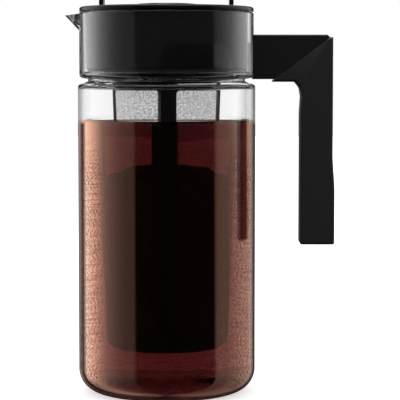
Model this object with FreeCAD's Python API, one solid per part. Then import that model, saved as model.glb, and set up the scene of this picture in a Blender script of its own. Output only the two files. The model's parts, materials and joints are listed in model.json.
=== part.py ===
"""A one-quart cold brew coffee maker: clear pitcher, black handle, twist lid and hanging infuser.

All lengths are in millimetres. Z is up and the base stands on z = 0. The pitcher's axis is the
Z axis, the spout points to -X and the handle to +X.
"""
import FreeCAD, Part
import math
import os

V = FreeCAD.Vector
TAU = 360.0

# Clearances
FIT = 0.3               # between curved faces of pieces that turn or lift
RAIL_FIT = 0.1          # round the handle rail, which is pushed home once
SNUG = 0.05             # between round faces of pieces pressed or welded together

# Pitcher, radii
WALL = 3.0
BODY_R = 48.5
WAIST_R = BODY_R - 5.6
NECK_R = BODY_R - 0.85
NECK_BORE_R = NECK_R - WALL
WAIST_BORE_R = WAIST_R - WALL
BODY_BORE_R = BODY_R - WALL
BASE_CORNER_R = 13.0
FOOT_R = BODY_R - 21.0  # inside of the standing ring
RECESS = 2.2            # push-up of the underside
RECESS_SLOPE = 3.5
FLOOR_T = 2.6
RIM_ROUND = 0.9
SHOULDER_ROUND = 2.0
SHOULDER_BORE_ROUND = 1.0

# Pitcher, heights
SHOULDER_Z = 168.5      # where the straight wall ends
WAIST_LOW_Z = SHOULDER_Z + 2.0
WAIST_TOP_Z = WAIST_LOW_Z + 1.1
NECK_UNDER_Z = WAIST_TOP_Z + 0.8
NECK_FLOOR_Z = NECK_UNDER_Z + 2.6   # the lid's gasket sits here
NECK_TOP_Z = NECK_FLOOR_Z + 32.6
SHOULDER_T = 1.8        # the sloped shoulder, measured upright
BORE_LOW_Z = WAIST_LOW_Z - SHOULDER_T
BORE_WIDE_Z = SHOULDER_Z - SHOULDER_T

# Bayonet of the lid in the waist: ledges on the pitcher, lugs on the lid
LEDGE_R = WAIST_BORE_R - 2.5
LEDGE_SPAN = 70.0
LEDGE_LOW_Z = WAIST_LOW_Z + 0.7
LEDGE_TOP_Z = LEDGE_LOW_Z + 2.4
LUG_SPAN = 50.0
LUG_T = 1.8
LUG_TOP_Z = LEDGE_LOW_Z - FIT
ROOT = 1.0              # how far a lug or ledge is let into its wall
SPARE = 5.0             # how far a cutting shape runs past what it cuts

# Spout: a V with a straight keel, closing to a point inside the neck wall
SPOUT_TIP_X = NECK_R + 9.8          # where the keel would meet the rim's level
SPOUT_POINT_X = NECK_R - 3.6
SPOUT_HALF_W = 13.0
SPOUT_POINT_Z = NECK_TOP_Z - 13.6
SPOUT_KEEL_R = 1.6
SPOUT_WALL_SHIFT = 1.4  # inward and upward, which leaves a wall of 1.6
SPOUT_LIP_X = NECK_R + 7.9
SPOUT_LIP_Z = NECK_TOP_Z - 1.5
SPOUT_ROOT_Z = NECK_TOP_Z - 0.8

# Handle arm, and the mitre where the grip starts
ARM_LOW_Z = WAIST_TOP_Z - 0.1
ARM_TOP_Z = ARM_LOW_Z + 24.1
ARM_HALF_D = 9.2
ARM_ROUND = 0.9
ARM_ROOT = 4.0          # how far the arm's blank runs into the neck before it is trimmed
CORNER_X = NECK_R + 40.95
CORNER_CUT = 1.4
CORNER_Z = ARM_TOP_Z - CORNER_CUT
MITRE_X = NECK_R + 10.25
MITRE_Z = ARM_LOW_Z - 0.7

# Grip
GRIP_T = 2.2
GRIP_HALF_D = ARM_HALF_D + 1.0
GRIP_TOP_X = CORNER_X + 1.75
GRIP_OUT_X = GRIP_TOP_X + 1.1
GRIP_IN_X = GRIP_OUT_X - 18.75
GRIP_UNDER_Z = ARM_LOW_Z - 1.45
GRIP_LOW_Z = ARM_LOW_Z - 90.0
GRIP_ROUND = 1.4
TONGUE_LOW = 8.4        # where the core's tongue leaves the arm, from the mitre's tip
TONGUE_TOP = 16.8
TONGUE_ROUND = 1.5
GRIP_END_R = 1.0
SWELL_TOP_Z = ARM_LOW_Z - 43.0      # the outer face swells out between these two
SWELL_LOW_Z = SWELL_TOP_Z - 16.0
SWELL_R = 60.0
KNEE_X = GRIP_IN_X - 2.8            # chamfer of the inner corner
KNEE_LOW = (GRIP_IN_X - 0.3, GRIP_UNDER_Z - 3.0)
KNEE_BULGE = (GRIP_IN_X + 0.6, GRIP_UNDER_Z - 7.7)
KNEE_END_Z = GRIP_UNDER_Z - 17.0
KNEE_END_R = 30.0

# Rail on the neck that the arm is pushed down over
RAIL_WEB_HALF = 3.0
RAIL_HEAD_HALF = 5.5
RAIL_WEB_X = NECK_R + 2.2
RAIL_HEAD_X = RAIL_WEB_X + 2.5
RAIL_LOW_Z = ARM_LOW_Z + 4.2
RAIL_TOP_Z = ARM_TOP_Z - 4.4
RAIL_ROUND = 0.8

# Gasket
SEAL_T = 1.8
SEAL_IN_R = WAIST_BORE_R + 1.0
SEAL_OUT_R = NECK_BORE_R - 1.1

# Lid cap
CAP_R = NECK_R - 0.1
CAP_LOW_Z = NECK_TOP_Z + 0.5
CAP_TOP_Z = CAP_LOW_Z + 3.3
CAP_T = 2.4
CAP_ROUND = 1.2
CAP_CROWN = 0.8         # the fall of the top face from CROWN_R to the edge
CROWN_R = 27.0
BOSS_R = 15.6
BOSS_H = 1.0
BOSS_SLOPE = 1.2
REGISTER_Z = CAP_LOW_Z - 4.0
REGISTER_T = 1.8

# Lid body
SKIRT_R = NECK_BORE_R - FIT
SKIRT_T = 2.2
SKIRT_LOW_Z = NECK_FLOOR_Z + SEAL_T
LID_FLOOR_T = 2.4
PLUG_R = LEDGE_R - 0.5
PLUG_T = 2.4
PLUG_LOW_Z = LEDGE_LOW_Z - 2.7
LUG_R = WAIST_BORE_R - 0.5
WINDOW_HALF_W = 8.0     # pour window in the skirt
WINDOW_LOW_Z = NECK_TOP_Z - 10.9
WINDOW_TOP_Z = NECK_TOP_Z - 4.4
WINDOW_ROUND = 2.0
SLOT_W = 2.6            # strainer slots in the lid's floor
SLOT_PITCH = 5.2
SLOT_IN_X = PLUG_R + 0.6
SLOT_OUT_X = SEAL_IN_R - 0.2
SLOT_COUNT = 5

# Loop on the lid
LOOP_HALF_W = CAP_R - 11.1
LOOP_T = 2.4
LOOP_TOP_Z = CAP_TOP_Z + 22.8
LOOP_CORNER_R = 9.0
LOOP_HALF_D = 8.5
LOOP_EDGE = 0.7
HOOK_LOW_Z = CAP_TOP_Z - 5.0
BARB = 0.8
BARB_INSET = 1.5

# Infuser, from the socket in the lid down
COLLAR_R = LEDGE_R - 7.7
SOCKET_R = COLLAR_R - 1.2
SOCKET_T = 2.2
SOCKET_CEIL_Z = PLUG_LOW_Z + 6.9
SPUD_R = SOCKET_R - 1.5             # the collar's upstanding neck
SPUD_TOP_Z = SOCKET_CEIL_Z - FIT
INF_BORE_R = SPUD_R - 1.6
INF_LEDGE_R = SPUD_R + FIT
INF_LEDGE_SPAN = 70.0
INF_LEDGE_TOP_Z = PLUG_LOW_Z + 1.7
INF_LUG_R = SOCKET_R - FIT
INF_LUG_SPAN = 60.0
INF_LUG_LOW_Z = INF_LEDGE_TOP_Z + FIT
INF_LUG_H = 2.0
COLLAR_TOP_Z = PLUG_LOW_Z - FIT
COLLAR_LOW_Z = COLLAR_TOP_Z - 1.6
RING_LOW_Z = COLLAR_LOW_Z - 1.1     # top of the mesh windows
RIB_T = 1.4
RIB_W = 8.4
RIB_TURN = 3.0          # the first rib stands this many degrees past the handle
MESH_T = 0.5
INF_WINDOW_ROUND = 2.0
INF_BOTTOM_Z = 24.5
INF_BASE_ROUND = 6.0
FRAME_LOW_Z = INF_BOTTOM_Z + INF_BASE_ROUND + 0.5
FOOT_RING_Z = FRAME_LOW_Z + 4.0     # bottom of the mesh windows
INF_LOW_R = COLLAR_R - 5.1          # outer radius at the bottom of the frame
INF_BASE_T = 1.8
SPIGOT_H = 2.6
SPIGOT_T = 1.4


def rounded(corners):
    """A closed wire in the XZ plane through (x, z, radius) corners."""
    count = len(corners)
    spans = []
    for i in range(count):
        px, pz, r = corners[i]
        p = V(px, 0, pz)
        if r <= 0:
            spans.append((p, None, p))
            continue
        ax, az, _ = corners[i - 1]
        bx, bz, _ = corners[(i + 1) % count]
        u = (V(ax, 0, az) - p).normalize()
        w = (V(bx, 0, bz) - p).normalize()
        half = u.getAngle(w) / 2.0
        back = r / math.tan(half)
        bis = (u + w).normalize()
        spans.append((p + u * back, p + bis * (r / math.sin(half) - r), p + w * back))
    edges = []
    for i in range(count):
        start, mid, end = spans[i]
        if mid is not None:
            edges.append(Part.Arc(start, mid, end).toShape())
        after = spans[(i + 1) % count][0]
        if end.distanceToPoint(after) > 1e-6:
            edges.append(Part.makeLine(end, after))
    return Part.Wire(Part.__sortEdges__(edges))


def turned(corners):
    """The solid swept by a closed profile of (radius, z, round) corners about the Z axis."""
    return Part.Face(rounded(corners)).revolve(V(0, 0, 0), V(0, 0, 1), TAU)


def slab(corners, half_depth):
    """A closed XZ profile made into a plate centred on y = 0."""
    face = Part.Face(rounded(corners))
    face.translate(V(0, -half_depth, 0))
    return face.extrude(V(0, 2 * half_depth, 0))


def sector(r_in, r_out, z_low, z_top, middle, span):
    """A piece of a ring round the Z axis, centred on the angle middle."""
    ring = Part.makeCylinder(r_out, z_top - z_low, V(0, 0, z_low), V(0, 0, 1), span)
    ring = ring.cut(Part.makeCylinder(r_in, z_top - z_low, V(0, 0, z_low)))
    ring.rotate(V(0, 0, 0), V(0, 0, 1), middle - span / 2.0)
    return ring


def block(x0, x1, y0, y1, z0, z1):
    return Part.makeBox(x1 - x0, y1 - y0, z1 - z0, V(x0, y0, z0))


def edges_where(shape, test):
    return [e for e in shape.Edges if test(e)]


def along_y(edge):
    a, b = edge.Vertexes[0].Point, edge.Vertexes[-1].Point
    return abs(a.x - b.x) < 1e-4 and abs(a.z - b.z) < 1e-4


def on_side(edge, half_depth):
    """Whether an edge lies in one of the two faces y = +-half_depth."""
    return all(abs(abs(v.Point.y) - half_depth) < 1e-4 for v in edge.Vertexes) and not along_y(edge)


def pair(make, middles):
    first = make(middles[0])
    return first.multiFuse([make(m) for m in middles[1:]])


def infuser_radius(z):
    """Outer radius of the tapered infuser at height z."""
    return INF_LOW_R + (COLLAR_R - INF_LOW_R) * (z - FRAME_LOW_Z) / (RING_LOW_Z - FRAME_LOW_Z)


def spout_cone():
    wire = rounded([(-SPOUT_POINT_X, -SPOUT_HALF_W, 0), (-SPOUT_POINT_X, SPOUT_HALF_W, 0),
                    (-SPOUT_TIP_X, 0, SPOUT_KEEL_R)])
    wire.rotate(V(0, 0, 0), V(1, 0, 0), 90)
    wire.translate(V(0, 0, NECK_TOP_Z))
    point = Part.Vertex(V(-SPOUT_POINT_X, 0, SPOUT_POINT_Z))
    return Part.makeLoft([wire, point], True, True)


def pitcher_body():
    body = turned([
        (0, RECESS, 0), (FOOT_R - RECESS_SLOPE, RECESS, 2.0), (FOOT_R, 0, 2.0),
        (BODY_R, 0, BASE_CORNER_R), (BODY_R, SHOULDER_Z, SHOULDER_ROUND),
        (WAIST_R, WAIST_LOW_Z, 0.5), (WAIST_R, WAIST_TOP_Z, 0.3),
        (NECK_R, NECK_UNDER_Z, 2.2), (NECK_R, NECK_TOP_Z, RIM_ROUND),
        (NECK_BORE_R, NECK_TOP_Z, RIM_ROUND), (NECK_BORE_R, NECK_FLOOR_Z, 0.6),
        (WAIST_BORE_R, NECK_FLOOR_Z, 0.6), (WAIST_BORE_R, BORE_LOW_Z, 0.8),
        (BODY_BORE_R, BORE_WIDE_Z, SHOULDER_BORE_ROUND),
        (BODY_BORE_R, FLOOR_T, BASE_CORNER_R - WALL),
        (FOOT_R, FLOOR_T, 2.0), (FOOT_R - RECESS_SLOPE, FLOOR_T + RECESS, 2.0),
        (0, FLOOR_T + RECESS, 0)])
    ledges = pair(lambda m: sector(LEDGE_R, WAIST_BORE_R + ROOT, LEDGE_LOW_Z, LEDGE_TOP_Z, m,
                                   LEDGE_SPAN), (90, 270))
    cone = spout_cone()
    lip = block(-SPOUT_TIP_X - SPARE, -SPOUT_POINT_X, -SPOUT_HALF_W - SPARE, SPOUT_HALF_W + SPARE,
                0, 2 * SPARE)
    fall = math.degrees(math.atan2(SPOUT_ROOT_Z - SPOUT_LIP_Z, SPOUT_LIP_X - NECK_R))
    lip.rotate(V(-NECK_R, 0, 0), V(0, 1, 0), -fall)
    lip.translate(V(0, 0, SPOUT_ROOT_Z))
    lip = lip.cut(Part.makeCylinder(NECK_R, NECK_TOP_Z + SPARE))
    outer = cone.cut(lip).cut(Part.makeCylinder(NECK_BORE_R, NECK_TOP_Z + SPARE))
    body = body.multiFuse([ledges, outer])
    channel = cone.copy()
    channel.translate(V(SPOUT_WALL_SHIFT, 0, SPOUT_WALL_SHIFT))
    body = body.cut(channel)
    web = block(NECK_R - ROOT, RAIL_WEB_X, -RAIL_WEB_HALF, RAIL_WEB_HALF, RAIL_LOW_Z, RAIL_TOP_Z)
    head = block(RAIL_WEB_X, RAIL_HEAD_X, -RAIL_HEAD_HALF, RAIL_HEAD_HALF, RAIL_LOW_Z, RAIL_TOP_Z)
    head = head.makeFillet(RAIL_ROUND, edges_where(head, lambda e: e.BoundBox.XLength < 1e-6
                                            and e.BoundBox.YLength < 1e-6))
    return body.multiFuse([web, head]).removeSplitter()


def grip_shape():
    """The full outside of the grip, before the core is taken out of it."""
    outline = [
        (MITRE_X, GRIP_UNDER_Z, 0), (MITRE_X, MITRE_Z, 0), (CORNER_X, CORNER_Z, 0),
        (GRIP_TOP_X, CORNER_Z, 0.4), (GRIP_TOP_X, SWELL_TOP_Z, SWELL_R),
        (GRIP_OUT_X, SWELL_LOW_Z, SWELL_R),
        (GRIP_OUT_X, GRIP_LOW_Z, GRIP_END_R), (GRIP_IN_X, GRIP_LOW_Z, GRIP_END_R),
        (GRIP_IN_X, KNEE_END_Z, KNEE_END_R), (KNEE_BULGE[0], KNEE_BULGE[1], 8),
        (KNEE_LOW[0], KNEE_LOW[1], 4), (KNEE_X, GRIP_UNDER_Z, 1.0)]
    shape = slab(outline, GRIP_HALF_D)

    def lengthwise(e):
        mid = e.CenterOfMass
        return on_side(e, GRIP_HALF_D) and not mitre_edge(mid)

    def mitre_edge(p):
        along = (p.x - MITRE_X) / (CORNER_X - MITRE_X)
        return 0.02 < along < 0.98 and abs(MITRE_Z + along * (CORNER_Z - MITRE_Z) - p.z) < 0.05

    return shape.makeFillet(GRIP_ROUND, edges_where(shape, lengthwise))


def handle_core():
    arm = slab([
        (NECK_R - ARM_ROOT, ARM_LOW_Z, 0),
        (MITRE_X + (ARM_LOW_Z - MITRE_Z) * (CORNER_X - MITRE_X) / (CORNER_Z - MITRE_Z),
         ARM_LOW_Z, 0),
        (CORNER_X, CORNER_Z, 0), (CORNER_X - CORNER_CUT, ARM_TOP_Z, 0),
        (NECK_R - ARM_ROOT, ARM_TOP_Z, 0)], ARM_HALF_D)

    def outer_long(e):
        flat = e.BoundBox.ZLength < 1e-6 and e.BoundBox.XLength > 10
        return flat and on_side(e, ARM_HALF_D)

    arm = arm.makeFillet(ARM_ROUND, edges_where(arm, outer_long))
    leg = slab([
        (MITRE_X + TONGUE_LOW, GRIP_UNDER_Z + GRIP_T, 0),
        (KNEE_X + ROOT, GRIP_UNDER_Z + GRIP_T, TONGUE_ROUND), (GRIP_IN_X + GRIP_T, KNEE_LOW[1], 3),
        (GRIP_IN_X + GRIP_T, GRIP_LOW_Z + GRIP_T, TONGUE_ROUND),
        (GRIP_TOP_X - GRIP_T, GRIP_LOW_Z + GRIP_T, TONGUE_ROUND),
        (GRIP_TOP_X - GRIP_T, CORNER_Z - GRIP_T, TONGUE_ROUND),
        (MITRE_X + TONGUE_TOP, CORNER_Z - GRIP_T, 0)], GRIP_HALF_D - GRIP_T)
    core = arm.fuse(leg)
    core = core.cut(Part.makeCylinder(NECK_R + SNUG, ARM_TOP_Z + ROOT))
    web = block(NECK_R - ARM_ROOT, RAIL_WEB_X + RAIL_FIT, -RAIL_WEB_HALF - RAIL_FIT,
                RAIL_WEB_HALF + RAIL_FIT, ARM_LOW_Z - SPARE, RAIL_TOP_Z + RAIL_FIT)
    head = block(RAIL_WEB_X - RAIL_FIT, RAIL_HEAD_X + RAIL_FIT, -RAIL_HEAD_HALF - RAIL_FIT,
                 RAIL_HEAD_HALF + RAIL_FIT, ARM_LOW_Z - SPARE, RAIL_TOP_Z + RAIL_FIT)
    return core.cut(web).cut(head).removeSplitter()


def handle_grip():
    return grip_shape().cut(handle_core())


def lid_seal():
    return turned([
        (SEAL_IN_R, NECK_FLOOR_Z, 0.3), (SEAL_OUT_R, NECK_FLOOR_Z, 0.3),
        (SEAL_OUT_R, SKIRT_LOW_Z, 0.3), (SEAL_IN_R, SKIRT_LOW_Z, 0.3)])


def lid_body():
    top = CAP_LOW_Z
    lid = turned([
        (0, SOCKET_CEIL_Z, 0), (SOCKET_R, SOCKET_CEIL_Z, 0), (SOCKET_R, PLUG_LOW_Z, 0),
        (PLUG_R, PLUG_LOW_Z, 0.6), (PLUG_R, SKIRT_LOW_Z, 0), (SKIRT_R, SKIRT_LOW_Z, 0.8),
        (SKIRT_R, top, 0), (SKIRT_R - SKIRT_T, top, 0),
        (SKIRT_R - SKIRT_T, SKIRT_LOW_Z + LID_FLOOR_T, 1.0),
        (PLUG_R - PLUG_T, SKIRT_LOW_Z + LID_FLOOR_T, 0.5), (PLUG_R - PLUG_T, PLUG_LOW_Z + PLUG_T, 0.8),
        (SOCKET_R + SOCKET_T, PLUG_LOW_Z + PLUG_T, 0.8),
        (SOCKET_R + SOCKET_T, SOCKET_CEIL_Z + SOCKET_T, 0.8), (0, SOCKET_CEIL_Z + SOCKET_T, 0)])
    lugs = pair(lambda m: sector(PLUG_R - ROOT, LUG_R, LUG_TOP_Z - LUG_T, LUG_TOP_Z, m, LUG_SPAN),
                (0, 180))
    ledges = pair(lambda m: sector(INF_LEDGE_R, SOCKET_R + ROOT, PLUG_LOW_Z, INF_LEDGE_TOP_Z, m,
                                   INF_LEDGE_SPAN), (90, 270))
    window = block(-SKIRT_R - SPARE, -SKIRT_R + SPARE, -WINDOW_HALF_W, WINDOW_HALF_W,
                   WINDOW_LOW_Z, WINDOW_TOP_Z)
    window = window.makeFillet(WINDOW_ROUND, edges_where(window, lambda e: e.BoundBox.XLength > 1))
    slots = []
    for i in range(SLOT_COUNT):
        y = (i - (SLOT_COUNT - 1) / 2.0) * SLOT_PITCH
        cutter = block(-SLOT_OUT_X, -SLOT_IN_X, y - SLOT_W / 2, y + SLOT_W / 2, SKIRT_LOW_Z - ROOT,
                       SKIRT_LOW_Z + LID_FLOOR_T + ROOT)
        slots.append(cutter)
    lid = lid.multiFuse([lugs, ledges])
    return lid.cut(window).cut(slots).removeSplitter()


def loop_outline(shrink, low_z):
    half = LOOP_HALF_W - shrink
    return [(-half, low_z, 0), (half, low_z, 0), (half, LOOP_TOP_Z - shrink, LOOP_CORNER_R - shrink),
            (-half, LOOP_TOP_Z - shrink, LOOP_CORNER_R - shrink)]


def lid_loop():
    loop = slab(loop_outline(0, HOOK_LOW_Z), LOOP_HALF_D)
    loop = loop.cut(slab(loop_outline(LOOP_T, HOOK_LOW_Z - SPARE), LOOP_HALF_D + SPARE))
    loop = loop.makeFillet(LOOP_EDGE, edges_where(
        loop, lambda e: on_side(e, LOOP_HALF_D) and e.BoundBox.ZMax > CAP_TOP_Z + 1))
    hook_top = CAP_TOP_Z - CAP_T
    barbs = []
    for sign in (-1, 1):
        x0 = LOOP_HALF_W - BARB
        profile = [(sign * x0, HOOK_LOW_Z, 0), (sign * LOOP_HALF_W, HOOK_LOW_Z, 0),
                   (sign * (LOOP_HALF_W + BARB), hook_top, 0), (sign * x0, hook_top, 0)]
        barbs.append(slab(profile, LOOP_HALF_D - BARB_INSET))
    return loop.multiFuse(barbs).removeSplitter()


def lid_cap():
    under = CAP_TOP_Z - CAP_T
    register_r = SKIRT_R - SKIRT_T - SNUG
    cap = turned([
        (0, under, 0), (register_r - REGISTER_T, under, 0.6),
        (register_r - REGISTER_T, REGISTER_Z, 0.5),
        (register_r, REGISTER_Z, 0.5), (register_r, CAP_LOW_Z, 0), (CAP_R, CAP_LOW_Z, 0.5),
        (CAP_R, CAP_TOP_Z - CAP_CROWN, CAP_ROUND), (CROWN_R, CAP_TOP_Z, 0),
        (BOSS_R + BOSS_SLOPE, CAP_TOP_Z, 0.4),
        (BOSS_R, CAP_TOP_Z + BOSS_H, 0.4), (0, CAP_TOP_Z + BOSS_H, 0)])
    for sign in (-1, 1):
        low, high = sorted((sign * (LOOP_HALF_W - LOOP_T), sign * LOOP_HALF_W))
        cap = cap.cut(block(low, high, -LOOP_HALF_D, LOOP_HALF_D, under - SPARE, CAP_TOP_Z + SPARE))
    return cap


def infuser_collar():
    collar = turned([
        (INF_BORE_R, COLLAR_LOW_Z, 0), (COLLAR_R, COLLAR_LOW_Z, 0), (COLLAR_R, COLLAR_TOP_Z, 0.6),
        (SPUD_R, COLLAR_TOP_Z, 0), (SPUD_R, SPUD_TOP_Z, 0.4),
        (INF_BORE_R, SPUD_TOP_Z, 0.4)])
    lugs = pair(lambda m: sector(SPUD_R - ROOT, INF_LUG_R, INF_LUG_LOW_Z,
                                 INF_LUG_LOW_Z + INF_LUG_H, m, INF_LUG_SPAN), (90, 270))
    return collar.fuse(lugs).removeSplitter()


def infuser_frame():
    shell = turned([
        (infuser_radius(FRAME_LOW_Z) - RIB_T, FRAME_LOW_Z, 0),
        (infuser_radius(FRAME_LOW_Z), FRAME_LOW_Z, 0),
        (infuser_radius(RING_LOW_Z), RING_LOW_Z, 0), (COLLAR_R, COLLAR_LOW_Z, 0),
        (COLLAR_R - RIB_T, COLLAR_LOW_Z, 0), (infuser_radius(RING_LOW_Z) - RIB_T, RING_LOW_Z, 0)])
    # Four windows with rounded corners, each leaving half a rib at either side
    half = RIB_W / 2.0
    reach = COLLAR_R + SPARE

    def beside_rib(e):
        return e.BoundBox.ZLength < 1e-6 and min(e.BoundBox.XMax, e.BoundBox.YMax) < half + 1e-6

    for turn in (0, 90, 180, 270):
        window = block(half, reach, half, reach, FOOT_RING_Z, RING_LOW_Z)
        window = window.makeFillet(INF_WINDOW_ROUND, edges_where(window, beside_rib))
        window.rotate(V(0, 0, 0), V(0, 0, 1), turn + RIB_TURN)
        shell = shell.cut(window)
    return shell


def infuser_mesh():
    low, top = FRAME_LOW_Z, COLLAR_LOW_Z
    r_low = infuser_radius(low) - RIB_T
    r_top = COLLAR_R - RIB_T
    r_mid = infuser_radius(RING_LOW_Z) - RIB_T
    return turned([
        (r_low - MESH_T, low, 0), (r_low, low, 0), (r_mid, RING_LOW_Z, 0), (r_top, top, 0),
        (r_top - MESH_T, top, 0), (r_mid - MESH_T, RING_LOW_Z, 0)])


def infuser_base():
    spigot_r = infuser_radius(FRAME_LOW_Z) - RIB_T - MESH_T - SNUG
    return turned([
        (0, INF_BOTTOM_Z, 0), (INF_LOW_R, INF_BOTTOM_Z, INF_BASE_ROUND), (INF_LOW_R, FRAME_LOW_Z, 0),
        (spigot_r, FRAME_LOW_Z, 0), (spigot_r, FRAME_LOW_Z + SPIGOT_H, 0.3),
        (spigot_r - SPIGOT_T, FRAME_LOW_Z + SPIGOT_H, 0.3),
        (spigot_r - SPIGOT_T, INF_BOTTOM_Z + INF_BASE_T, INF_BASE_ROUND - INF_BASE_T),
        (0, INF_BOTTOM_Z + INF_BASE_T, 0)])


PARTS = {
    "pitcher_body": pitcher_body, "handle_core": handle_core, "handle_grip": handle_grip,
    "lid_seal": lid_seal, "lid_body": lid_body, "lid_cap": lid_cap, "lid_loop": lid_loop,
    "infuser_collar": infuser_collar, "infuser_frame": infuser_frame,
    "infuser_mesh": infuser_mesh, "infuser_base": infuser_base,
}

os.makedirs("parts", exist_ok=True)
for name, make in PARTS.items():
    shape = make()
    if shape.ShapeType != "Solid" and len(shape.Solids) == 1:
        shape = shape.Solids[0]
    print(name, shape.ShapeType, len(shape.Solids), shape.isValid(),
          round(shape.Volume / 1000, 2), "cm3")
    shape.exportStep(os.path.join("parts", name + ".step"))
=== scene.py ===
# %% [markdown]
# # A one-quart cold brew coffee maker
#
# The real object is a clear pitcher with a black lid, a black side handle and a long mesh
# infuser that hangs under the lid. This lesson dresses an engineering model of it: the shapes
# come in ready-made, and each step below makes one finish or one piece that the eye expects.

# %% Start: load the fixed frame
import json
import math

import bmesh
import bpy
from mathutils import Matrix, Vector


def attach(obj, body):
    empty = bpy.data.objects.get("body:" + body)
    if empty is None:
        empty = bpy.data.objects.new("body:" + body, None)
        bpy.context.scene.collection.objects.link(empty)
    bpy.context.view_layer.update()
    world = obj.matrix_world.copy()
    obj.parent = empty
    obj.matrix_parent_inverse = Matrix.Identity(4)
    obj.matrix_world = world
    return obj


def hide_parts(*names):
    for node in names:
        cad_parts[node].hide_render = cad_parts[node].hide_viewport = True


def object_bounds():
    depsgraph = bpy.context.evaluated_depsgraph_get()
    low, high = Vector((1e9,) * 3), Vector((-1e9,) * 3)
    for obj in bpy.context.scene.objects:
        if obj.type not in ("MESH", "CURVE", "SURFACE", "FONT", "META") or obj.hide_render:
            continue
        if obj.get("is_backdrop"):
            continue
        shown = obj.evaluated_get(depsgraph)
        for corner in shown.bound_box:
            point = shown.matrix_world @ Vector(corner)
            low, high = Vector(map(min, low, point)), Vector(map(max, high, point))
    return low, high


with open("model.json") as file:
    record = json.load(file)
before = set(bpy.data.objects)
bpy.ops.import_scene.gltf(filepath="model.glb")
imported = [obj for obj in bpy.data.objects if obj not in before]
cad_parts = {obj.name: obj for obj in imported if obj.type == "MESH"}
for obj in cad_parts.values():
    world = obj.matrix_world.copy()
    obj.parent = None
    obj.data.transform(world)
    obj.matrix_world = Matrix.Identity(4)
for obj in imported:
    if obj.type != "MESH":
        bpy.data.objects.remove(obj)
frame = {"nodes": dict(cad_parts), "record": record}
low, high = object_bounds()

# %% [markdown]
# ## Sizes
#
# The frame is in metres, and a maker thinks in millimetres, so one function turns one into the
# other. The few sizes that the new pieces need are written once, here.

# %% Sizes in millimetres
def mm(*values):
    """Millimetres to metres, one value or several."""
    metres = [0.001 * v for v in values]
    return metres[0] if len(metres) == 1 else tuple(metres)


BORE_R = 45.5           # inside of the pitcher's body
BORE_ROUND = 10.0       # round between its wall and its floor
FLOOR_Z = 2.6           # inside floor over the standing ring
PUSH_UP_Z = 4.8         # inside floor over the push-up in the middle
PUSH_UP_TOP_R = 24.0    # where the push-up starts to slope, and where it meets the ring
PUSH_UP_FOOT_R = 27.5
COFFEE_Z = 148.5        # how full the pitcher is
GROUNDS_Z = 125.2       # how full the infuser is
HEAP_H = 8.0            # how far the heap of grounds falls away at the sleeve
SINK = 0.15             # how far a filling's skin is sunk into the plastic
MESH_LOW_R = 22.7       # inside of the mesh sleeve at its foot, and at its top
MESH_TOP_R = 27.8
MESH_LOW_Z = 31.0
MESH_TOP_Z = 165.5
MESH_GAP = 0.3          # between the grounds and the mesh, so that the weave stays visible
CUP_R = 21.25           # inside of the infuser's cup, up to its top edge
CUP_FLOOR_Z = 26.3
CUP_TOP_Z = 33.6
CUP_ROUND = 4.2


def mesh_radius(z):
    """Inside radius of the tapering mesh sleeve at a height."""
    return MESH_LOW_R + (MESH_TOP_R - MESH_LOW_R) * (z - MESH_LOW_Z) / (MESH_TOP_Z - MESH_LOW_Z)


print("coffee depth in mm:", COFFEE_Z - FLOOR_Z)

# %% [markdown]
# ## Colour and nodes
#
# Colours are written the way a paint chart gives them, as sRGB hex. Blender's shaders work in
# linear light, so one function converts them. One more function adds a shader node, sets its
# values and joins its inputs, so a whole material reads as a short list.

# %% Helpers for colour and nodes
def rgb(hex_code, alpha=1.0):
    """An sRGB hex colour as linear red, green, blue and alpha."""
    parts = [int(hex_code[i:i + 2], 16) / 255 for i in (1, 3, 5)]
    linear = [c / 12.92 if c <= 0.04045 else ((c + 0.055) / 1.055) ** 2.4 for c in parts]
    return (*linear, alpha)


def add(tree, kind, settings=None, **inputs):
    """Adds a node. Settings are its own properties; inputs are values or sockets to link."""
    node = tree.nodes.new(kind)
    for key, value in (settings or {}).items():
        setattr(node, key, value)
    for key, value in inputs.items():
        socket = node.inputs[int(key[1:]) if key[0] == "i" and key[1:].isdigit()
                             else key.replace("_", " ")]
        if isinstance(value, bpy.types.NodeSocket):
            tree.links.new(value, socket)
        else:
            socket.default_value = value
    return node


def grey_ramp(tree, source, stops):
    """A Color Ramp over a socket, from (place, grey) stops. The first place is 0, the last 1."""
    node = add(tree, "ShaderNodeValToRGB", Fac=source)
    marks = node.color_ramp.elements
    for place, grey in stops:
        mark = marks[0] if place == 0 else marks[-1] if place == 1 else marks.new(place)
        mark.color = (grey, grey, grey, 1)
    return node


def mix_colours(tree, share, first, second, blend="MIX"):
    """A Mix Color node's result, from the first colour at share 0 to the second at 1."""
    node = add(tree, "ShaderNodeMix", {"data_type": "RGBA", "blend_type": blend}, i0=share,
               i6=first, i7=second)
    return node.outputs[2]


def let_lamps_through(tree, skin, film):
    """A surface that looks like skin and that a shadow ray sees as film."""
    ray = add(tree, "ShaderNodeLightPath")
    return add(tree, "ShaderNodeMixShader", i0=ray.outputs["Is Shadow Ray"], i1=skin.outputs[0],
               i2=film.outputs[0]).outputs[0]


def new_material(name):
    """A material, its tree and the output node, which is all that the tree holds."""
    material = bpy.data.materials.new(name)
    material.use_nodes = True
    tree = material.node_tree
    tree.nodes.clear()
    output = tree.nodes.new("ShaderNodeOutputMaterial")
    return material, tree, output
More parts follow.
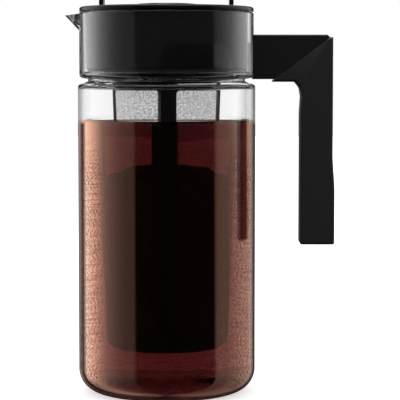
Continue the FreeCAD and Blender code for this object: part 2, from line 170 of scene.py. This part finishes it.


# %% [markdown]
# ## Clear copolyester
#
# The pitcher is injection moulded from a clear copolyester. It bends light like most clear
# plastics (IOR 1.54) and is polished in the mould. A full pitcher of cold coffee fogs a little,
# so the wall carries a fine mist of drops as high as the coffee stands. The drops are drawn on
# the two flanks only, where the coffee's bright sheen behind them shows them up: their place is
# painted light. Each cell of a Voronoi texture is one drop: a brownish spot in the coffee's
# colour, which is painted shade that darkens the sheen seen through it, and a very slight bump.
# Lamps must reach what stands inside, so a shadow ray sees the plastic as clear film.

# %% Material: clear copolyester
MIST_TOP_Z = COFFEE_Z - 5       # the mist starts here, and is at its densest 20 mm lower
MIST_FULL_Z = COFFEE_Z - 25
MIST_INNER_X = 32               # nearer to the middle than this no drops are painted, as the sheen behind is dark there
MIST_OUTER_X = 38
DROP = 1.35                     # from one drop to the next

clear, tree, output = new_material("moulded clear copolyester")
where = add(tree, "ShaderNodeTexCoord")
place = add(tree, "ShaderNodeSeparateXYZ", Vector=where.outputs["Object"])
fogged = add(tree, "ShaderNodeMapRange", Value=place.outputs["Z"],
             From_Min=mm(MIST_TOP_Z), From_Max=mm(MIST_FULL_Z))
# Painted light: the drops are kept to the flanks, where the bright sheen behind would show them
# up.
aside = add(tree, "ShaderNodeMath", {"operation": "ABSOLUTE"}, i0=place.outputs["X"])
sheen_lit_flank = add(tree, "ShaderNodeMapRange", Value=aside.outputs[0],
            From_Min=mm(MIST_INNER_X), From_Max=mm(MIST_OUTER_X))
mist_on_bright_flanks = add(tree, "ShaderNodeMath", {"operation": "MULTIPLY"}, i0=sheen_lit_flank.outputs[0],
            i1=fogged.outputs[0])
drops = add(tree, "ShaderNodeTexVoronoi", Vector=where.outputs["Object"], Scale=1000 / DROP)
spot = add(tree, "ShaderNodeMapRange", Value=drops.outputs["Distance"], From_Min=0.25,
           From_Max=0.5, To_Min=1.0, To_Max=0.0)
mist_and_painted_shade = add(tree, "ShaderNodeMath", {"operation": "MULTIPLY"}, i0=spot.outputs[0],
           i1=mist_on_bright_flanks.outputs[0])
# Painted shade: each drop tints the plastic coffee-brown and darkens the sheen seen through it.
cast = mix_colours(tree, mist_and_painted_shade.outputs[0], rgb("#FFFFFF"), rgb("#76543F"))
beads = add(tree, "ShaderNodeBump", Strength=0.03, Distance=mm(0.25), Height=mist_and_painted_shade.outputs[0])
plastic = add(tree, "ShaderNodeBsdfPrincipled", Base_Color=cast, Roughness=0.01, IOR=1.54,
              Transmission_Weight=1.0, Normal=beads.outputs[0])
film = add(tree, "ShaderNodeBsdfTransparent", Color=rgb("#F5F6F6"))
tree.links.new(let_lamps_through(tree, plastic, film), output.inputs["Surface"])

# %% [markdown]
# ## Cold brew
#
# Coffee is water with brown pigment. It lets red light through best, so the more of it there is
# to look through, the darker and redder it gets. A Volume Absorption does that by depth.
#
# Its skin is a second finish. Cold brew is a little cloudy, so it throws some of the room's light
# back, tinted, and most of it towards the pitcher's edges. A mix of water and a copper-toned
# mirror stands in for that. Layer Weight's Facing is 0 straight on and 1 edge on: the ramp over
# it gives the mirror's share, and the tone goes from red-brown to a paler copper on the way.
# Through the plastic Facing never gets past 0.28. What lies beyond is the top face, seen from
# the side, and it stays plain water.

# %% Material: cold brew
RED_BROWN = (1.0, 0.42, 0.25, 1)
COPPER = (1.0, 0.52, 0.31, 1)
PIGMENT = (0.71, 0.48, 0.481, 1)    # the lower the number, the more of its light is lost

brew, tree, output = new_material("cold brew coffee")
facing = add(tree, "ShaderNodeLayerWeight", Blend=0.5)
sheen = grey_ramp(tree, facing.outputs["Facing"], (
    (0, 0.285), (0.055, 0.30), (0.085, 0.28), (0.12, 0.30), (0.146, 0.40), (0.166, 0.46),
    (0.188, 0.57), (0.212, 0.75), (0.27, 0.75), (0.30, 0.1), (0.8, 0), (1, 0)))
pale = add(tree, "ShaderNodeMapRange", Value=facing.outputs["Facing"], From_Min=0.14,
           From_Max=0.24)
cast = mix_colours(tree, pale.outputs[0], RED_BROWN, COPPER)
water = add(tree, "ShaderNodeBsdfPrincipled", Base_Color=rgb("#FFFFFF"), Roughness=0.0,
            IOR=1.34, Transmission_Weight=1.0)
mirror = add(tree, "ShaderNodeBsdfPrincipled", Base_Color=cast, Roughness=0.0, Metallic=1.0)
skin = add(tree, "ShaderNodeMixShader", i0=sheen.outputs[0], i1=water.outputs[0],
           i2=mirror.outputs[0])
film = add(tree, "ShaderNodeBsdfTransparent")
pigment = add(tree, "ShaderNodeVolumeAbsorption", Color=PIGMENT, Density=100.0)
tree.links.new(let_lamps_through(tree, skin, film), output.inputs["Surface"])
tree.links.new(pigment.outputs[0], output.inputs["Volume"])

# %% [markdown]
# ## Black plastics
#
# The lid is gloss ABS: a polished mould leaves it smooth, with a very slight waviness. The arm,
# the loop and the infuser are satin ABS from a spark-eroded mould, which leaves a fine grain. The
# arm's own copy of that satin is painted much paler: painted light that stands in for more light
# falling on the handle.
# The grip is a softer overmoulded elastomer, paler and duller, and the lid's seal is silicone.
#
# The arm would also show as a black bar in the polished neck, where it confuses the eye. A
# studio would retouch it. Here the handle's top turns clear for every ray that has already been
# mirrored once, and stays solid for all others.

# %% Materials: black plastics
ROUGHNESS_SPREAD = 0.04     # how far the grain moves the roughness, up and down


def black_plastic(name, colour, roughness, grain_mm, bump_mm, strength):
    """A plastic with a fine grain in its roughness and its surface."""
    material, tree, output = new_material(name)
    where = add(tree, "ShaderNodeTexCoord")
    grain = add(tree, "ShaderNodeTexNoise", Vector=where.outputs["Object"], Scale=1000 / grain_mm,
                Detail=3.0, Roughness=0.6)
    rough = add(tree, "ShaderNodeMapRange", Value=grain.outputs[0],
                To_Min=roughness - ROUGHNESS_SPREAD, To_Max=roughness + ROUGHNESS_SPREAD)
    bump = add(tree, "ShaderNodeBump", Strength=strength, Distance=mm(bump_mm),
               Height=grain.outputs[0])
    skin = add(tree, "ShaderNodeBsdfPrincipled", Base_Color=rgb(colour), IOR=1.53,
               Roughness=rough.outputs[0], Normal=bump.outputs[0])
    tree.links.new(skin.outputs[0], output.inputs["Surface"])
    return material


def out_of_mirrors(material, above):
    """Leaves what stands higher than above, in mm, out of every mirror image."""
    tree = material.node_tree
    output = tree.nodes["Material Output"]
    skin = output.inputs["Surface"].links[0].from_socket
    where = add(tree, "ShaderNodeTexCoord")
    place = add(tree, "ShaderNodeSeparateXYZ", Vector=where.outputs["Object"])
    high = add(tree, "ShaderNodeMath", {"operation": "GREATER_THAN"}, i0=place.outputs["Z"],
               i1=mm(above))
    ray = add(tree, "ShaderNodeLightPath")
    mirrored = add(tree, "ShaderNodeMath", {"operation": "GREATER_THAN"},
                   i0=ray.outputs["Glossy Depth"], i1=0.5)
    both = add(tree, "ShaderNodeMath", {"operation": "MULTIPLY"}, i0=high.outputs[0],
               i1=mirrored.outputs[0])
    gone = add(tree, "ShaderNodeBsdfTransparent")
    mixed = add(tree, "ShaderNodeMixShader", i0=both.outputs[0], i1=skin, i2=gone.outputs[0])
    tree.links.new(mixed.outputs[0], output.inputs["Surface"])


gloss = black_plastic("moulded gloss ABS", "#0B0B0C", roughness=0.07, grain_mm=9.0,
                      bump_mm=0.02, strength=0.25)
satin = black_plastic("spark-grained satin ABS", "#101011", roughness=0.32, grain_mm=0.8,
                      bump_mm=0.02, strength=0.5)
# Painted light: the handle's satin is the same ABS painted much paler, in place of more light on
# it.
arm_painted_lighter = black_plastic("spark-grained satin ABS, handle, painted lighter", "#2C2C2D", roughness=0.34, grain_mm=0.8,
                    bump_mm=0.02, strength=0.5)
grip = black_plastic("overmoulded soft elastomer", "#3B3B3C", roughness=0.52, grain_mm=0.5,
                     bump_mm=0.03, strength=0.6)
rubber = black_plastic("moulded silicone rubber", "#1C1C1E", roughness=0.45, grain_mm=1.0,
                       bump_mm=0.02, strength=0.3)
MIRRORED_UP_TO_Z = 170      # the handle above this is left out of mirror images
for material in (arm_painted_lighter, grip):
    out_of_mirrors(material, above=MIRRORED_UP_TO_Z)

# %% [markdown]
# ## Woven nylon
#
# The infuser's walls are a fine woven nylon. Its threads are about 0.1 mm, too fine for a
# picture, so the weave is drawn at 0.9 mm: coarse enough to read as the grey speckle that the
# real one shows. Two sine waves, one round the sleeve and one up it, make the threads, noise
# makes them uneven, and the holes between them are see-through. Below the coffee's level the
# threads are soaked, which makes them brown and harder to see.

# %% Material: woven nylon
nylon, tree, output = new_material("woven nylon mesh")
where = add(tree, "ShaderNodeTexCoord")
axes = add(tree, "ShaderNodeSeparateXYZ", Vector=where.outputs["Object"])
angle = add(tree, "ShaderNodeMath", {"operation": "ARCTAN2"}, i0=axes.outputs["Y"],
            i1=axes.outputs["X"])
THREAD = 0.9            # from one thread to the next
UNEVEN = 1.1            # size of the weave's thick and thin places
SOAKED = 0.35           # how much a soaked thread still covers, against a dry one
threads_round = round(2 * math.pi * MESH_TOP_R / THREAD)
threads_per_metre = 1000 / THREAD
waves = []
for source, rate in ((angle.outputs[0], threads_round),
                     (axes.outputs["Z"], 2 * math.pi * threads_per_metre)):
    phase = add(tree, "ShaderNodeMath", {"operation": "MULTIPLY"}, i0=source, i1=float(rate))
    waves.append(add(tree, "ShaderNodeMath", {"operation": "SINE"}, i0=phase.outputs[0]))
crossing = add(tree, "ShaderNodeMath", {"operation": "MAXIMUM"}, i0=waves[0].outputs[0],
               i1=waves[1].outputs[0])
fray = add(tree, "ShaderNodeTexNoise", Vector=where.outputs["Object"], Scale=1000 / UNEVEN,
           Detail=2.0)
knots = add(tree, "ShaderNodeMapRange", Value=fray.outputs[0], From_Min=0.35, From_Max=0.65,
            To_Min=-1.5, To_Max=1.5)
uneven = add(tree, "ShaderNodeMath", {"operation": "ADD"}, i0=crossing.outputs[0],
             i1=knots.outputs[0])
dry = add(tree, "ShaderNodeMapRange", {"interpolation_type": "SMOOTHSTEP"},
          Value=axes.outputs["Z"], From_Min=mm(COFFEE_Z - 3), From_Max=mm(COFFEE_Z + 2))
cover = add(tree, "ShaderNodeMapRange", Value=uneven.outputs[0], From_Min=-1.5, From_Max=2.4,
            To_Min=0.0, To_Max=0.34)
soaked_cover = add(tree, "ShaderNodeMath", {"operation": "MULTIPLY"}, i0=cover.outputs[0],
                   i1=SOAKED)
alpha = add(tree, "ShaderNodeMix", i0=dry.outputs[0], i2=soaked_cover.outputs[0],
            i3=cover.outputs[0])
tone = mix_colours(tree, dry.outputs[0], rgb("#5A4038"), rgb("#E6E8E7"))
thread = add(tree, "ShaderNodeBsdfPrincipled", Base_Color=tone, Roughness=0.6,
             Alpha=alpha.outputs[0])
tree.links.new(thread.outputs[0], output.inputs["Surface"])

# %% [markdown]
# ## Wet grounds
#
# Soaked coffee grounds are almost black, lumpy at about two millimetres, and glisten a little.

# %% Material: wet coffee grounds
LUMP = 2.2

soaked, tree, output = new_material("wet coffee grounds")
where = add(tree, "ShaderNodeTexCoord")
lumps = add(tree, "ShaderNodeTexNoise", Vector=where.outputs["Object"], Scale=1000 / LUMP,
            Detail=4.0)
tone = mix_colours(tree, lumps.outputs[0], rgb("#0C0705"), rgb("#24140D"))
bump = add(tree, "ShaderNodeBump", Strength=0.8, Distance=mm(0.6), Height=lumps.outputs[0])
skin = add(tree, "ShaderNodeBsdfPrincipled", Base_Color=tone, Roughness=0.55,
           Normal=bump.outputs[0])
tree.links.new(skin.outputs[0], output.inputs["Surface"])

# %% [markdown]
# ## Smooth skins over the frame's pieces
#
# The frame's pieces are made of flat triangles. Polished plastic shows every one of them, so
# each piece is copied, its loose triangles are joined, and its faces are shaded smooth up to its
# real edges. A Weighted Normal modifier keeps the flats flat beside the rounded edges.

# %% Smooth copies
BODY_OF = {node: body for body, nodes in frame["record"]["behaviour"]["bodies"].items()
           for node in nodes}


EDGE_DEGREES = 28       # a sharper bend than this stays an edge


def smooth_copy(node, material):
    """Makes a joined and smooth-shaded copy of a node, in the same place, that stands for it."""
    bm = bmesh.new()
    bm.from_mesh(frame["nodes"][node].data)
    bmesh.ops.remove_doubles(bm, verts=bm.verts, dist=mm(0.002))
    bmesh.ops.dissolve_degenerate(bm, edges=bm.edges, dist=mm(0.001))
    piece = finish_piece(bm, node + "_skin", material)
    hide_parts(node)
    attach(piece, BODY_OF[node])


def finish_piece(bm, name, material):
    """Turns a bmesh into an object with a material and smooth shading."""
    mesh = bpy.data.meshes.new(name)
    bm.to_mesh(mesh)
    bm.free()
    mesh.materials.append(material)
    mesh.shade_smooth()
    mesh.set_sharp_from_angle(angle=math.radians(EDGE_DEGREES))
    piece = bpy.data.objects.new(name, mesh)
    bpy.context.scene.collection.objects.link(piece)
    weighted = piece.modifiers.new("weighted", "WEIGHTED_NORMAL")
    weighted.keep_sharp = True
    print(name, len(mesh.polygons), "faces")
    return piece


FINISH = {
    "pitcher_body": clear, "handle_core": arm_painted_lighter, "handle_grip": grip, "lid_seal": rubber,
    "lid_body": gloss, "lid_cap": gloss, "lid_loop": satin, "infuser_collar": satin,
    "infuser_frame": satin, "infuser_mesh": nylon, "infuser_base": satin,
}
for node, material in FINISH.items():
    smooth_copy(node, material)

# %% [markdown]
# ## The coffee
#
# The liquid fills the pitcher, so it is a turned shape: half a section, spun round the axis. Its
# skin is sunk a little into the plastic, because a gap of air between the two would flash like a
# mirror. Where it meets the wall it climbs a millimetre: that is the meniscus.

# %% The coffee
def section(points):
    """An open line in the XZ plane through (r, z, round) points in millimetres.
    round is the length cut back from the corner on both sides."""
    bm = bmesh.new()
    verts = [bm.verts.new(mm(r, 0, z)) for r, z, _ in points]
    for a, b in zip(verts, verts[1:]):
        bm.edges.new((a, b))
    for vert, (_, _, cut) in zip(verts, points):
        if cut:
            bmesh.ops.bevel(bm, geom=[vert], offset=mm(cut), offset_type="OFFSET", segments=8,
                            profile=0.5, affect="VERTICES", material=-1)
    return bm


def turn(bm, steps=128):
    """Spins a section round the Z axis and closes it."""
    bmesh.ops.spin(bm, geom=bm.verts[:] + bm.edges[:], cent=(0, 0, 0), axis=(0, 0, 1),
                   angle=2 * math.pi, steps=steps, use_merge=True)
    bmesh.ops.remove_doubles(bm, verts=bm.verts, dist=mm(0.001))
    bmesh.ops.recalc_face_normals(bm, faces=bm.faces)
    return bm


MENISCUS_H = 1.0
PUSH_UP_ROUND = 1.5
skin_r = BORE_R + SINK
push_up_z = PUSH_UP_Z - SINK
floor_z = FLOOR_Z - SINK
bm = turn(section([
    (0, push_up_z, 0), (PUSH_UP_TOP_R, push_up_z, PUSH_UP_ROUND),
    (PUSH_UP_FOOT_R, floor_z, PUSH_UP_ROUND), (skin_r, floor_z, BORE_ROUND + SINK),
    (skin_r, COFFEE_Z + MENISCUS_H, 0), (BORE_R - 0.7, COFFEE_Z + 0.2, 0.3),
    (BORE_R - 2.5, COFFEE_Z, 0.5), (0, COFFEE_Z, 0)]))
coffee = finish_piece(bm, "coffee", brew)
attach(coffee, "pitcher")

# %% [markdown]
# ## The grounds
#
# The grounds fill most of the sleeve and settle in an uneven heap that falls away at the mesh.
# The heap is a turned shape too. Two waves that cross each other push its upper part up and
# down, so that it doesn't look turned.

# %% The grounds
HEAP_R = 17             # where the heap's crown turns into its slope
CROWN_H = 0.8
WAVE_H = 0.9
cup_r = CUP_R - SINK
bm = turn(section([
    (0, CUP_FLOOR_Z + SINK, 0), (cup_r, CUP_FLOOR_Z + SINK, CUP_ROUND),
    (cup_r, CUP_TOP_Z + SINK, 0), (mesh_radius(CUP_TOP_Z) - MESH_GAP, CUP_TOP_Z + 1, 0.4),
    (mesh_radius(GROUNDS_Z) - MESH_GAP, GROUNDS_Z - HEAP_H, 1.5),
    (HEAP_R, GROUNDS_Z - CROWN_H, 12), (0, GROUNDS_Z + CROWN_H, 0)]), steps=96)
for vert in bm.verts:
    if vert.co.z > mm(GROUNDS_Z - HEAP_H - 1):
        x, y = vert.co.x * 1000, vert.co.y * 1000
        vert.co.z += mm(WAVE_H * math.sin(0.42 * x + 1.3) * math.cos(0.37 * y - 0.6))
grounds = finish_piece(bm, "grounds", soaked)
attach(grounds, "infuser")

# %% [markdown]
# ## Floor and background
#
# The pitcher stands in a white studio. The white comes from the surroundings themselves: the
# camera, and every ray that has only passed through clear things, sees plain white. The floor is
# paper that glows. It glows less close to the pitcher, which draws a faint shadow, and least
# right under it, where the dark patch is a painted contact shadow. A ray that has been mirrored
# doesn't see the paper but the room below it.

# %% Floor
def straight_view(tree):
    """1 for a ray that comes from the camera and has met nothing but clear things, else 0."""
    ray = add(tree, "ShaderNodeLightPath")
    seen = add(tree, "ShaderNodeMath", {"operation": "MAXIMUM"}, i0=ray.outputs["Is Camera Ray"],
               i1=ray.outputs["Is Transmission Ray"])
    bounces = add(tree, "ShaderNodeMath", {"operation": "ADD"}, i0=ray.outputs["Glossy Depth"],
                  i1=ray.outputs["Diffuse Depth"])
    direct = add(tree, "ShaderNodeMath", {"operation": "LESS_THAN"}, i0=bounces.outputs[0], i1=0.5)
    return add(tree, "ShaderNodeMath", {"operation": "MULTIPLY"}, i0=seen.outputs[0],
               i1=direct.outputs[0])


FLOOR_R = 4000.0
UNDER_R = 30.0          # the painted contact shadow under the pitcher ends between these two radii
UNDER_EDGE_R = 37.0
UNDER_GLOW = 0.3
SHADE_R = 50.0          # the shadow fades out between these two
CLEAR_R = 120.0
SHADE_GLOW = 0.58

floor_mat, tree, output = new_material("studio floor paper")
where = add(tree, "ShaderNodeTexCoord")
distance = add(tree, "ShaderNodeVectorMath", {"operation": "LENGTH"}, i0=where.outputs["Object"])
# Painted shadow: right under the pitcher the paper's glow drops to UNDER_GLOW.
painted_contact_shadow = add(tree, "ShaderNodeMapRange", {"interpolation_type": "SMOOTHSTEP"},
              Value=distance.outputs["Value"], From_Min=mm(UNDER_R), From_Max=mm(UNDER_EDGE_R),
              To_Min=UNDER_GLOW)
spread = add(tree, "ShaderNodeMapRange", Value=distance.outputs["Value"], From_Min=mm(SHADE_R),
             From_Max=mm(CLEAR_R), To_Min=SHADE_GLOW)
glow = add(tree, "ShaderNodeMath", {"operation": "MULTIPLY"}, i0=painted_contact_shadow.outputs[0],
           i1=spread.outputs[0])
paper = add(tree, "ShaderNodeBsdfPrincipled", Base_Color=rgb("#E9E9E9"), Roughness=0.9,
            Emission_Color=rgb("#FFFFFF"), Emission_Strength=glow.outputs[0])
gone = add(tree, "ShaderNodeBsdfTransparent")
seen = straight_view(tree)
both = add(tree, "ShaderNodeMixShader", i0=seen.outputs[0], i1=gone.outputs[0],
           i2=paper.outputs[0])
tree.links.new(both.outputs[0], output.inputs["Surface"])
bm = bmesh.new()
bmesh.ops.create_circle(bm, cap_ends=True, segments=64, radius=mm(FLOOR_R))
floor = finish_piece(bm, "floor", floor_mat)
floor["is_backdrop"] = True

# %% [markdown]
# ## The room in the mirrors
#
# Polished plastic looks like what it reflects, so the room is drawn in the world's shader: three
# bands of wall, one above the other. Each is a row of (turn, brightness) stops, where the turn is
# in degrees from straight behind the pitcher. The left and the right half of the high and the low
# band have rows of their own.
#
# The pitcher's wall is upright, so it mirrors a ray without changing its slope, and the camera
# stands about as high as the waist. From the front, then, the neck mirrors the high band, the
# clear part above the coffee the middle one, and the part with coffee in it the low one. That is
# why the bands meet a little below the horizon. A screen of black cloth stands in front, which
# draws the dark stripe down the middle. The ceiling is pale, and towards the floor the room gets
# darker.

# %% World: the walls
HIGH_LEFT = (
    (0, 0.9), (9, 0.9), (12, 0.07), (26, 0.04), (33, 0.26), (37, 0.58), (41, 0.92), (47, 0.88),
    (60, 0.97), (70, 0.92), (79, 0.66), (89, 0.48), (98, 0.33), (108, 0.21), (116, 0.165),
    (125, 0.13), (180, 0.12))
HIGH_RIGHT = (
    (0, 0.9), (9, 0.8), (12, 0.06), (22, 0.02), (25, 0.05), (29.6, 0.42), (34.6, 0.85),
    (39, 0.78), (43, 0.57), (49.5, 0.64), (60, 0.73), (70, 0.69), (79, 0.5), (89, 0.36),
    (98, 0.25), (108, 0.16), (116, 0.12), (125, 0.1), (180, 0.12))
MIDDLE = (
    (0, 0.42), (28, 0.45), (33, 0.65), (41, 0.95), (60, 1.0), (79, 0.7), (98, 0.4),
    (125, 0.25), (180, 0.25))
LOW_LEFT = (
    (0, 0.05), (12, 0.05), (20, 0.45), (26, 0.35), (30, 0.2), (34, 0.08), (37, 0.04),
    (42.5, 0.04), (45, 1.1), (48, 1.4), (52, 1.15), (60, 1.15), (70, 1.0), (79, 0.72),
    (89, 0.46), (98, 0.32), (108, 0.22), (116, 0.16), (125, 0.115), (180, 0.1))
LOW_RIGHT = (
    (0, 0.05), (20, 0.05), (25, 0.12), (30, 0.3), (35, 0.6), (40, 0.55), (44, 0.42),
    (51, 0.42), (60, 0.43), (72, 0.4), (84, 0.3), (92, 0.22), (100, 0.22), (108, 0.2),
    (113, 0.12), (117, 0.04), (180, 0.04))

world = bpy.data.worlds.new("studio")
bpy.context.scene.world = world
world.use_nodes = True
tree = world.node_tree
tree.nodes.clear()
output = tree.nodes.new("ShaderNodeOutputWorld")
direction = add(tree, "ShaderNodeTexCoord")
level = add(tree, "ShaderNodeVectorMath", {"operation": "MULTIPLY"},
            i0=direction.outputs["Generated"], i1=(1, 1, 0))
heading = add(tree, "ShaderNodeVectorMath", {"operation": "NORMALIZE"}, i0=level.outputs[0])
steep = add(tree, "ShaderNodeSeparateXYZ", Vector=direction.outputs["Generated"])
turned = add(tree, "ShaderNodeSeparateXYZ", Vector=heading.outputs[0])
around = add(tree, "ShaderNodeMapRange", Value=turned.outputs["Y"], From_Min=1.0, From_Max=-1.0)
right_side = add(tree, "ShaderNodeMapRange", Value=turned.outputs["X"], From_Min=-0.02,
                 From_Max=0.02)


def wall(left, right):
    """One band of wall all the way round, from the stops of its two halves."""
    halves = [grey_ramp(tree, around.outputs[0],
                        [((1 - math.cos(math.radians(turn))) / 2, grey) for turn, grey in stops])
              for stops in (left, right)]
    return mix_colours(tree, right_side.outputs[0], halves[0].outputs[0], halves[1].outputs[0])


up = add(tree, "ShaderNodeMapRange", Value=steep.outputs["Z"], From_Min=-0.008, From_Max=-0.003)
lift = add(tree, "ShaderNodeMapRange", Value=steep.outputs["Z"], From_Min=-0.0285,
           From_Max=-0.0265)
lower = mix_colours(tree, lift.outputs[0], wall(LOW_LEFT, LOW_RIGHT), wall(MIDDLE, MIDDLE))
room = mix_colours(tree, up.outputs[0], lower, wall(HIGH_LEFT, HIGH_RIGHT))

# %% World: screen, ceiling and floor side
SCREEN_TURN = math.radians(13.0)    # the screen's middle, from straight in front to the right
SCREEN_HALF = math.radians(55.0)
SCREEN_EDGE = 0.03                  # softness of its edge, as a cosine
SCREEN_LOW = (0.004, 0.004, 0.004, 1)
SCREEN_HIGH = (0.045, 0.045, 0.045, 1)
CEILING = (0.8, 0.8, 0.8, 1)
screen_side = add(tree, "ShaderNodeVectorMath", {"operation": "DOT_PRODUCT"},
                  i0=heading.outputs[0],
                  i1=(math.sin(SCREEN_TURN), -math.cos(SCREEN_TURN), 0))
screen = add(tree, "ShaderNodeMapRange", Value=screen_side.outputs["Value"],
             From_Min=math.cos(SCREEN_HALF) - SCREEN_EDGE,
             From_Max=math.cos(SCREEN_HALF) + SCREEN_EDGE)
cloth = mix_colours(tree, up.outputs[0], SCREEN_LOW, SCREEN_HIGH)
screened = mix_colours(tree, screen.outputs[0], room, cloth)
above = add(tree, "ShaderNodeMapRange", {"interpolation_type": "SMOOTHSTEP"},
            Value=steep.outputs["Z"], From_Min=0.3, From_Max=0.7)
roofed = mix_colours(tree, above.outputs[0], screened, CEILING)
# Behind and to the left the floor side gets dark more steeply, and darker, than elsewhere
near_floor = add(tree, "ShaderNodeMapRange", Value=steep.outputs["Z"], From_Min=-0.6,
                 From_Max=-0.15, To_Min=0.35)
far_floor = add(tree, "ShaderNodeMapRange", Value=steep.outputs["Z"], From_Min=-0.45,
                From_Max=-0.17, To_Min=0.1)
leftwards = add(tree, "ShaderNodeMapRange", Value=turned.outputs["X"], From_Min=0.1,
                From_Max=-0.1)
behind = add(tree, "ShaderNodeMapRange", Value=turned.outputs["Y"], From_Min=0.3, From_Max=0.85,
             To_Max=leftwards.outputs[0])
below = add(tree, "ShaderNodeMix", i0=behind.outputs[0], i2=near_floor.outputs[0],
            i3=far_floor.outputs[0])
shaded = mix_colours(tree, 1.0, roofed, below.outputs[0], blend="MULTIPLY")
seen = straight_view(tree)
white = add(tree, "ShaderNodeBackground", Color=rgb("#FFFFFF"), Strength=1.0)
lit = add(tree, "ShaderNodeBackground", Color=shaded, Strength=1.0)
both = add(tree, "ShaderNodeMixShader", i0=seen.outputs[0], i1=lit.outputs[0],
           i2=white.outputs[0])
tree.links.new(both.outputs[0], output.inputs["Surface"])

# %% [markdown]
# ## Lamp
#
# The room does most of the lighting. One big, weak softbox overhead lifts the lid's top.

# %% Lamp
def softbox(name, place, aim, size, watts):
    """A square area lamp at a place, turned to its aim."""
    lamp = bpy.data.lights.new(name, "AREA")
    lamp.size = size
    lamp.energy = watts
    box = bpy.data.objects.new(name, lamp)
    box.location = place
    direction = aim - box.location
    box.rotation_euler = direction.to_track_quat("-Z", "Y").to_euler()
    bpy.context.scene.collection.objects.link(box)


middle = (low + high) / 2
softbox("overhead_softbox", (0.0, 0.1, 1.4), middle, 1.2, 5)

# %% [markdown]
# ## Camera
#
# The pitcher is seen from about a metre away, from about the height of its waist, looking
# slightly down with a long lens, so its sides stay nearly parallel.

# %% Camera
lens = bpy.data.cameras.new("camera")
lens.sensor_width = 36
lens.lens = 157.5
camera = bpy.data.objects.new("camera", lens)
camera.location = mm(18.23, -959, 174.0)
LOOK_DOWN = 4.1         # degrees below level
camera.rotation_euler = (math.radians(90 - LOOK_DOWN), 0, 0)
bpy.context.scene.collection.objects.link(camera)
bpy.context.scene.camera = camera
bpy.context.scene.view_settings.view_transform = "Standard"

# %% Finish
low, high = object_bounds()
print("visual box in mm:", [round(1000 * v, 1) for v in (*low, *high)])
